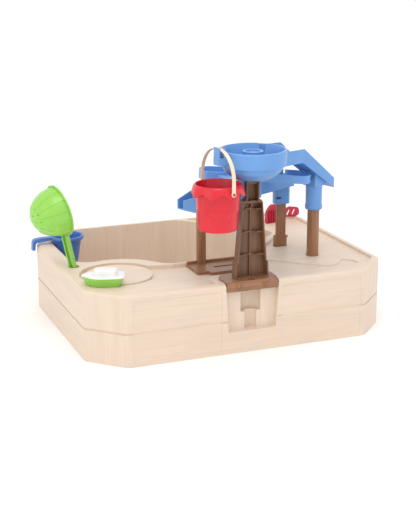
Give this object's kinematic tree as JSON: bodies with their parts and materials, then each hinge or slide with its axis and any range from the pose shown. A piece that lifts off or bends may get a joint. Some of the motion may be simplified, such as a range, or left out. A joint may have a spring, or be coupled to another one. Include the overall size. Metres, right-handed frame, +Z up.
{
  "type": "sand and water table",
  "caption": "Moulded play table with a deep sand well, a shallow water deck, a tower with water troughs, a hanging bucket and loose toys on its rim.",
  "frame": {"origin": "middle of the tub's footprint, on the ground", "axes": "+X to the right along the tub's long front, +Y to its back, +Z up"},
  "size_m": [1.0876, 0.8958, 0.642],
  "materials": {
    "tub_plastic": "moulded wood grain",
    "brown_plastic": "moulded wood grain",
    "blue_plastic": "smooth satin",
    "red_plastic": "smooth gloss",
    "beige_plastic": "smooth satin",
    "green_plastic": "smooth gloss",
    "cup_blue": "smooth satin",
    "white_plastic": "smooth gloss",
    "crimson_plastic": "smooth satin"
  },
  "bodies": {
    "table": {"tub": "tub_plastic", "umbrella_plate": "brown_plastic", "tower": "brown_plastic", "bridge_plate": "brown_plastic", "post_left": "brown_plastic", "post_middle": "brown_plastic", "post_foot": "brown_plastic", "post_right": "brown_plastic", "top_bowl": "blue_plastic", "mid_tray": "blue_plastic", "lower_chute": "blue_plastic", "collar_middle": "blue_plastic", "collar_right": "blue_plastic"},
    "drain_plug": {"drain_plug": "brown_plastic"},
    "bail": {"bucket_bail": "beige_plastic"},
    "bucket": {"bucket": "red_plastic"},
    "strainer": {"strainer": "green_plastic"},
    "cup": {"hook_cup": "cup_blue"},
    "boat": {"boat_hull": "green_plastic", "boat_deck": "white_plastic"},
    "rake": {"hand_rake": "crimson_plastic"}
  },
  "joints": [
    {"name": "bail_swing", "type": "hinge", "parent": "table", "child": "bail", "pos_m": [-0.10372, -0.39566, 0.632], "axis": [-0.9816, -0.1908, 0], "range_deg": [-15, 15]},
    {"name": "bucket_pivot", "type": "hinge", "parent": "bail", "child": "bucket", "pos_m": [-0.10372, -0.39566, 0.515], "axis": [0.1908, -0.9816, 0], "range_deg": [-30, 1]},
    {"name": "strainer_lift", "type": "slide", "parent": "table", "child": "strainer", "axis": [-0.1806, 0.1055, 0.9779], "range_m": [0, 0.09]},
    {"name": "cup_lift", "type": "slide", "parent": "table", "child": "cup", "axis": [0, 0, 1], "range_m": [0, 0.1]},
    {"name": "boat_lift", "type": "slide", "parent": "table", "child": "boat", "axis": [0, 0, 1], "range_m": [0, 0.08]},
    {"name": "rake_lift", "type": "slide", "parent": "table", "child": "rake", "axis": [0, 0, 1], "range_m": [0, 0.08]},
    {"name": "drain_plug_pull", "type": "slide", "parent": "table", "child": "drain_plug", "axis": [0, 0, 1], "range_m": [0, 0.03]}
  ]
}
